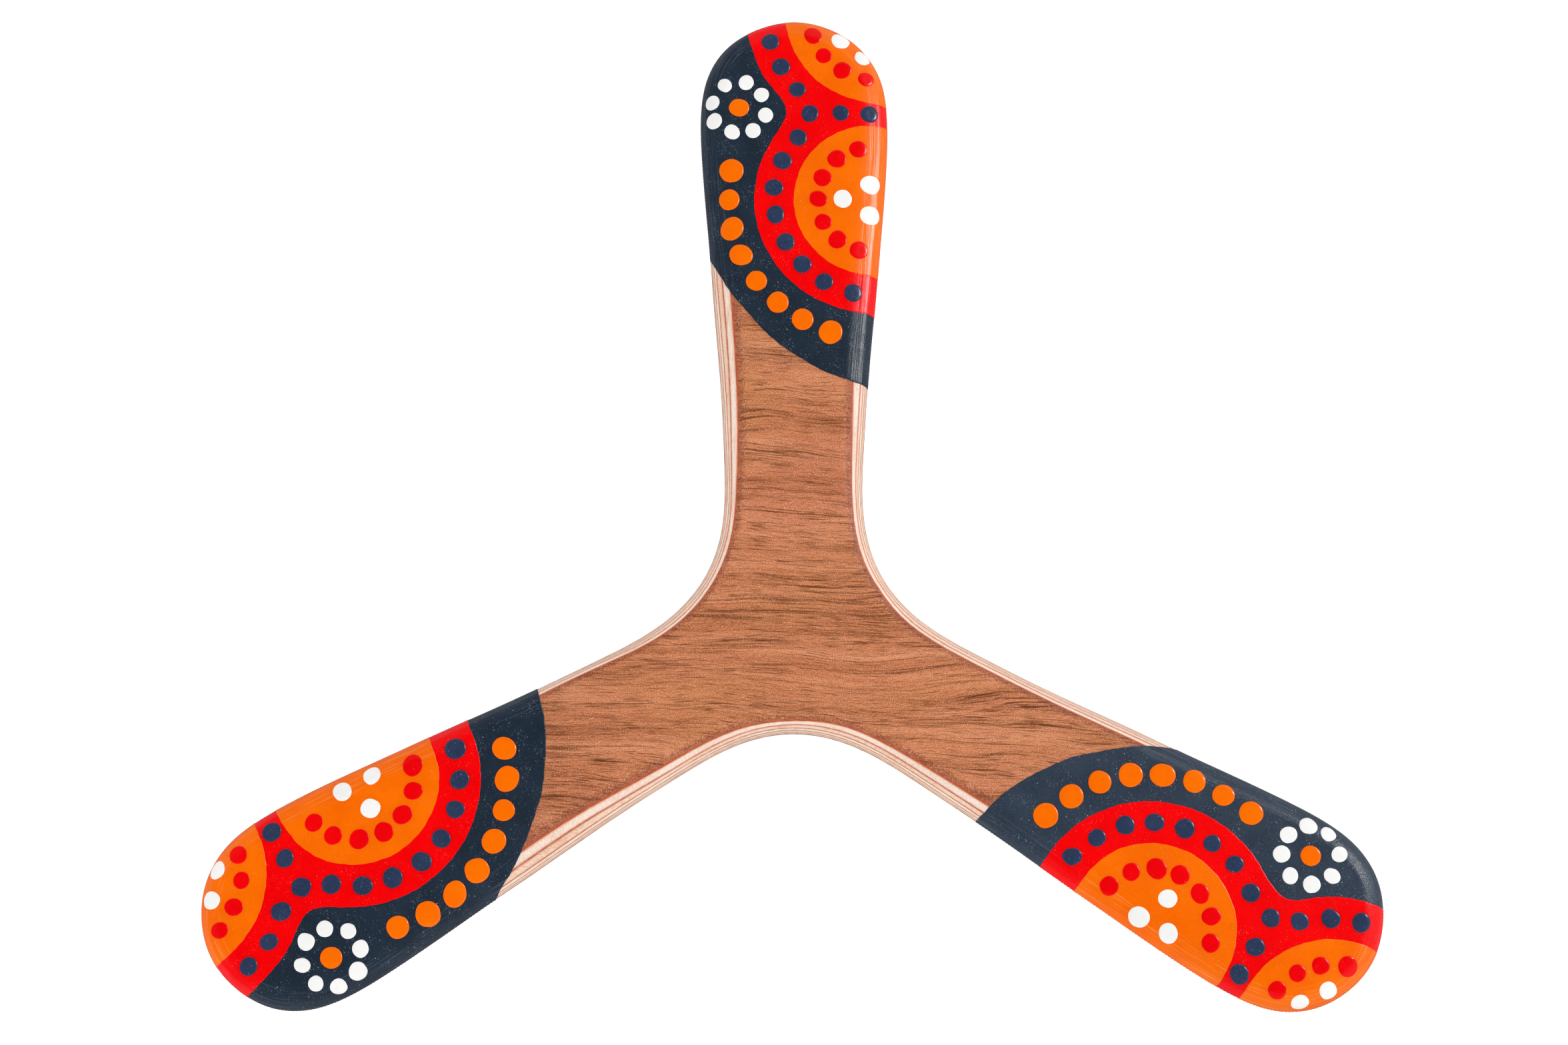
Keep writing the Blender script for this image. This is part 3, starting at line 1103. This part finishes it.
# ------------------------------------------------------- finishes on the wood
veneer = face_veneer("walnut_face_veneer", 4.0)
veneer_back = face_veneer("walnut_back_veneer", 57.0, red_rim=False)
CREAM, PEACH = srgb(250, 232, 219), srgb(248, 222, 203)
TAN, RUST = srgb(222, 176, 146), srgb(178, 104, 74)
LINE_1, LINE_2, LINE_3 = srgb(222, 148, 114), srgb(218, 148, 118), srgb(206, 158, 132)


def ply_z(k):
    """Underside height of core ply k, 1 the uppermost."""
    return VENEER_T + GLUE_T + (N_PLIES - k) * (PLY_T + GLUE_T)


finishes = {
    "top_face_veneer": veneer,
    "back_face_veneer": veneer_back,
    "core_ply_1": edge_ply("birch_ply_1", 1.0, False, CREAM, srgb(236, 202, 180), srgb(208, 138, 108), 0.60, ply_z(1), LINE_1, LINE_2),
    "core_ply_2": edge_ply("birch_ply_2", 2.0, True, PEACH, srgb(228, 176, 144), RUST, 0.50, ply_z(2), LINE_2, LINE_2),
    "core_ply_3": edge_ply("birch_ply_3", 3.0, False, CREAM, srgb(230, 190, 162), RUST, 0.45, ply_z(3), LINE_2, LINE_3),
    "core_ply_4": edge_ply("birch_ply_4", 4.0, True, PEACH, TAN, RUST, 0.45, ply_z(4), LINE_3, LINE_3),
    "core_ply_5": edge_ply("birch_ply_5", 5.0, False, PEACH, TAN, RUST, 0.40, ply_z(5), LINE_3, LINE_3),
    "glue_film_1": glue("glue_line_1", 1.0, srgb(180, 84, 54), srgb(214, 122, 84), 0.24),
    "glue_film_2": glue("glue_line_2", 2.0, srgb(176, 88, 62), srgb(216, 136, 104), 0.20),
    "glue_film_3": glue("glue_line_3", 3.0, srgb(158, 82, 60), srgb(206, 130, 100), 0.18),
    "glue_film_4": glue("glue_line_4", 4.0, srgb(126, 76, 60), srgb(184, 126, 102), 0.18),
    "glue_film_5": glue("glue_line_5", 5.0, srgb(118, 78, 64), srgb(178, 132, 110), 0.18),
    "glue_film_6": glue("glue_line_6", 6.0, srgb(110, 76, 64), srgb(170, 130, 110), 0.18),
}
SLOT_OF = {"top_face_veneer": "face_veneer", "back_face_veneer": "back_veneer"}
for node, mat in finishes.items():
    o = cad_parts[node]
    o.data.materials.clear()
    o.data.materials.append(mat)

PALE = srgb(196, 206, 216)
mats = {
    "dark": paint("dark_base_paint", srgb(38, 50, 64), srgb(32, 43, 56), PALE, 0.62, 0.17, srgb(84, 97, 112), 0.40, 1.3),
    "dusty": paint("dark_base_paint_dusty", srgb(55, 66, 81), srgb(46, 57, 71), PALE, 0.66, 0.18, srgb(92, 105, 120), 0.45, 1.8),
    "red": paint("red_band_paint", srgb(252, 5, 7), srgb(242, 2, 7), srgb(255, 130, 130), 0.40, 0.19, srgb(226, 40, 66), 0.45, 0.8),
    "orange": paint("orange_field_paint", srgb(255, 114, 3), srgb(248, 104, 1), srgb(255, 182, 128), 0.38, 0.19, srgb(255, 158, 92), 0.50, 0.6),
}
dot_mats = {
    "white": paint("white_dot_paint", srgb(251, 250, 248), srgb(245, 245, 243), srgb(228, 228, 228), 0.15, 0.30, srgb(250, 250, 250), 0.0, 0.10),
    "orange": paint("orange_dot_paint", srgb(255, 116, 2), srgb(252, 108, 1), srgb(255, 176, 116), 0.25, 0.14, srgb(255, 150, 80), 0.0, 0.15),
    "red": paint("red_dot_paint", srgb(246, 5, 10), srgb(236, 2, 10), srgb(255, 110, 120), 0.25, 0.15, srgb(240, 60, 80), 0.0, 0.15),
    "navy": paint("navy_dot_paint", srgb(49, 63, 92), srgb(40, 54, 82), srgb(160, 174, 196), 0.55, 0.14, srgb(90, 106, 130), 0.0, 0.30),
}
DOT_H = {"white": 0.22, "orange": 0.32, "red": 0.24, "navy": 0.34}

# -------------------------------------------------------------- build it all
for blade in range(3):
    coats, far = build_coats(blade, mats)
    rng = np.random.default_rng(500 + blade)
    groups = {
        "white": flower(FLOWER[blade]) + list(WHITE_TRIO[blade]) + row(TIP_WHITE_ROW[blade]),
        "orange": [(FLOWER[blade][0], FLOWER[blade][1], FLOWER_CENTRE_R)] + row(ORANGE_ROW[blade]),
        "red": row(RED_ROW[blade]) + row(TIP_RED_ROW[blade]),
        "navy": row(NAVY_ROW[blade]) + row(NAVY_BRANCH[blade]),
    }
    for name, dots in groups.items():
        build_dots(blade, name, dots, dot_mats[name], far, rng, DOT_H[name])

# ------------------------------------------------------------ floor and light
floor_mat = Nodes("studio_floor")
_p = floor_mat.place()
_f = floor_mat.noise(floor_mat.stretch(_p, 60, 60, 60), 2.0, 0.5)
floor_mat.finish(Base_Color=floor_mat.ramp(_f, [(0.3, (0.93, 0.93, 0.93, 1)), (0.7, (0.96, 0.96, 0.96, 1))]),
                 Roughness=0.9, Specular_IOR_Level=0.1, Emission_Color=(1, 1, 1, 1), Emission_Strength=0.60)
# the sweep shows white to the camera, and sends only a little light back up
# at the flanks, so the edges stay crisp
_t = floor_mat.mat.node_tree
_bsdf = next(q for q in _t.nodes if q.type == "BSDF_PRINCIPLED")
_see = _t.nodes.new("ShaderNodeLightPath").outputs["Is Camera Ray"]
_mix = _t.nodes.new("ShaderNodeMix")
_mix.data_type = "RGBA"
_was = _bsdf.inputs["Base Color"].links[0].from_socket
_t.links.new(_see, _mix.inputs["Factor"])
for _i, _s in enumerate(_mix.inputs):
    if _s.type == "RGBA" and _s.name == "A":
        _s.default_value = (0.30, 0.30, 0.30, 1)
    if _s.type == "RGBA" and _s.name == "B":
        _t.links.new(_was, _s)
_t.links.new(next(q for q in _mix.outputs if q.type == "RGBA"), _bsdf.inputs["Base Color"])
_gain = _t.nodes.new("ShaderNodeMath")
_gain.operation = "MULTIPLY"
_t.links.new(_see, _gain.inputs[0])
_far = _t.nodes.new("ShaderNodeMapRange")
_far.inputs["From Min"].default_value, _far.inputs["From Max"].default_value = 0.35, 1.10
_far.inputs["To Min"].default_value, _far.inputs["To Max"].default_value = 0.60, 1.0
_len = _t.nodes.new("ShaderNodeVectorMath")
_len.operation = "LENGTH"
_t.links.new(_t.nodes.new("ShaderNodeTexCoord").outputs["Object"], _len.inputs[0])
_t.links.new(_len.outputs["Value"], _far.inputs["Value"])
_t.links.new(_far.outputs[0], _gain.inputs[1])
_t.links.new(_gain.outputs[0], _bsdf.inputs["Emission Strength"])
me = bpy.data.meshes.new("studio_floor")
n_f = 24
gx = np.linspace(-3, 3, n_f)
vs = [(x, y, -0.00015) for y in gx for x in gx]
fs = [(j * n_f + i, j * n_f + i + 1, (j + 1) * n_f + i + 1, (j + 1) * n_f + i) for j in range(n_f - 1) for i in range(n_f - 1)]
me.from_pydata(vs, [], fs)
floor = bpy.data.objects.new("studio_floor", me)
me.materials.append(floor_mat.mat)
bpy.context.scene.collection.objects.link(floor)


def area(name, place, target, size, power, gloss=True):
    d = bpy.data.lights.new(name, "AREA")
    d.shape = "RECTANGLE"
    d.size, d.size_y = size
    d.energy = power
    o = bpy.data.objects.new(name, d)
    o.location = place
    o.rotation_euler = (Vector(target) - Vector(place)).to_track_quat("-Z", "Y").to_euler()
    o.visible_glossy = gloss
    d.cycles.use_multiple_importance_sampling = gloss
    o.visible_camera = False
    bpy.context.scene.collection.objects.link(o)
    return o


TENT = 0.34
area("overhead_scrim", (-0.25, 0.0, 1.6), (0, 0, 0), (2.6, 2.6), 5.0, gloss=False)
area("left_scrim", (-1.25, -0.25, 0.50), (0, 0, 0), (1.3, 0.8), 15.0, gloss=False)
area("front_scrim", (0.10, -1.35, 0.42), (0, 0, 0), (1.3, 0.7), 10.0, gloss=False)
area("back_scrim", (0.0, 1.35, 0.42), (0, 0, 0), (1.3, 0.7), 8.0, gloss=False)
area("right_scrim", (1.35, -0.10, 0.42), (0, 0, 0), (1.3, 0.7), 8.0, gloss=False)
area("key_softbox", (1.15, 0.50, 0.95), (0, 0, 0), (0.35, 0.35), 9.5)

world = bpy.data.worlds.new("studio")
bpy.context.scene.world = world
world.use_nodes = True
wn = world.node_tree
wn.nodes.clear()
bg = wn.nodes.new("ShaderNodeBackground")
wo = wn.nodes.new("ShaderNodeOutputWorld")
wn.links.new(bg.outputs[0], wo.inputs[0])
bg.inputs[0].default_value = (1, 1, 1, 1)
tc = wn.nodes.new("ShaderNodeTexCoord")
sep = wn.nodes.new("ShaderNodeSeparateXYZ")
wn.links.new(tc.outputs["Generated"], sep.inputs[0])
# a bright tent with a dark opening over the object, where the camera stands,
# and its brighter side to the right
up = wn.nodes.new("ShaderNodeMapRange")
up.interpolation_type = "SMOOTHSTEP"
up.inputs["From Min"].default_value = 0.60
up.inputs["From Max"].default_value = 0.86
up.inputs["To Min"].default_value = 1.0
up.inputs["To Max"].default_value = 0.012
wn.links.new(sep.outputs[2], up.inputs["Value"])
side = wn.nodes.new("ShaderNodeMapRange")
side.interpolation_type = "SMOOTHSTEP"
side.inputs["From Min"].default_value = -0.8
side.inputs["From Max"].default_value = 0.8
side.inputs["To Min"].default_value = TENT * 0.30
side.inputs["To Max"].default_value = TENT * 1.05
wn.links.new(sep.outputs[0], side.inputs["Value"])
mul = wn.nodes.new("ShaderNodeMath")
mul.operation = "MULTIPLY"
wn.links.new(up.outputs[0], mul.inputs[0])
wn.links.new(side.outputs[0], mul.inputs[1])
lp = wn.nodes.new("ShaderNodeLightPath")
seen = wn.nodes.new("ShaderNodeMix")
seen.data_type = "FLOAT"
wn.links.new(lp.outputs["Is Camera Ray"], seen.inputs[0])
wn.links.new(mul.outputs[0], seen.inputs[2])
seen.inputs[3].default_value = 1.0
wn.links.new(seen.outputs[0], bg.inputs[1])

# -------------------------------------------------------------------- camera
# Looking down at the face from a little in front of the lower notch.
W, H, F = 2352, 1568, 3700.0
HUB = (1190.684, 946.191)
TILT, ROLL = math.radians(12.423), math.radians(-2.583)
SCALE = 160.0 / 977.0
ez = np.array([-math.sin(TILT) * math.sin(ROLL), -math.sin(TILT) * math.cos(ROLL), -math.cos(TILT)])
ex = np.array([1.0, 0, 0]) - ez * ez[0]
ex /= np.linalg.norm(ex)
ey = np.cross(ez, ex)
R = np.stack([ex, ey, ez])
t = np.array([(HUB[0] - W / 2) / F, (HUB[1] - H / 2) / F, 1.0]) * F * SCALE
C = -(R @ t) * MM
cam_data = bpy.data.cameras.new("camera")
cam_data.sensor_fit = "HORIZONTAL"
cam_data.sensor_width = 36.0
cam_data.lens = F / W * 36.0
cam_data.clip_start, cam_data.clip_end = 0.01, 20.0
cam = bpy.data.objects.new("camera", cam_data)
axes = [R @ np.array(v, float) for v in ((1, 0, 0), (0, -1, 0), (0, 0, -1))]
m = Matrix.Identity(4)
for j in range(3):
    for i in range(3):
        m[i][j] = axes[j][i]
    m[j][3] = C[j]
cam.matrix_world = m
bpy.context.scene.collection.objects.link(cam)
bpy.context.scene.camera = cam

bpy.context.scene.view_settings.view_transform = "Standard"
bpy.context.scene.view_settings.look = "None"
bpy.context.scene.view_settings.exposure = 0.0
bpy.context.scene.view_settings.gamma = 1.0
